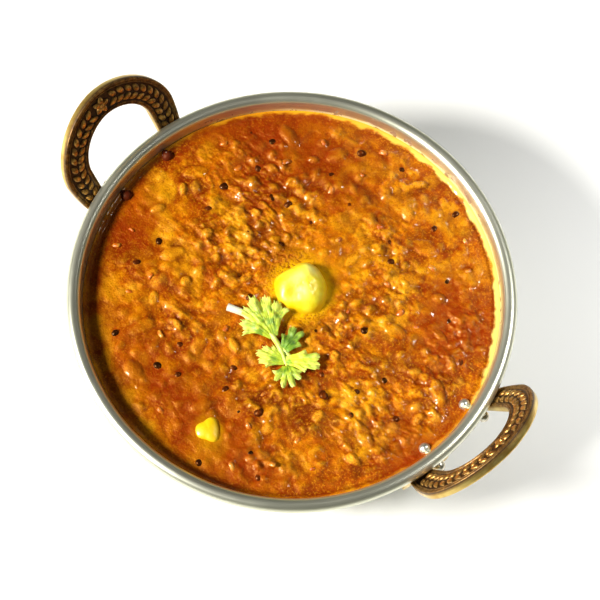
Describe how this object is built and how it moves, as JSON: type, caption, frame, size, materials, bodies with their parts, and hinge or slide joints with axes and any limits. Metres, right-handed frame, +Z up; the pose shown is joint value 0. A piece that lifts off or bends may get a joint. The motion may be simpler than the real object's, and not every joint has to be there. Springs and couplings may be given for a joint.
{
  "type": "dal makhani in a two-handled bowl",
  "caption": "Creamy black lentil and kidney bean curry with butter and coriander, in a round steel bowl with arched brass handles.",
  "frame": {"origin": "middle of the bowl's flat base", "axes": "+Z up out of the bowl; X runs from one handle to the other; +Y is the side away from the coriander"},
  "size_m": [0.218, 0.18, 0.0875],
  "materials": {
    "steel": "polished stainless steel, softly brushed round the wall",
    "rivets": "rounded bright rivet heads",
    "brass": "cast antique brass, dark in the recesses, rubbed gold on the raised lines",
    "dal": "thick oily gravy with lentils and beans",
    "butter": "soft melting butter",
    "coriander": "fresh leaf with a pale stem"
  },
  "bodies": {
    "root": {"bowl": "steel", "rivet_1": "rivets", "rivet_2": "rivets", "rivet_3": "rivets", "rivet_4": "rivets", "handle_right": "brass", "handle_left": "brass", "dal": "dal", "butter": "butter", "butter_bit": "butter", "coriander": "coriander"}
  },
  "joints": []
}
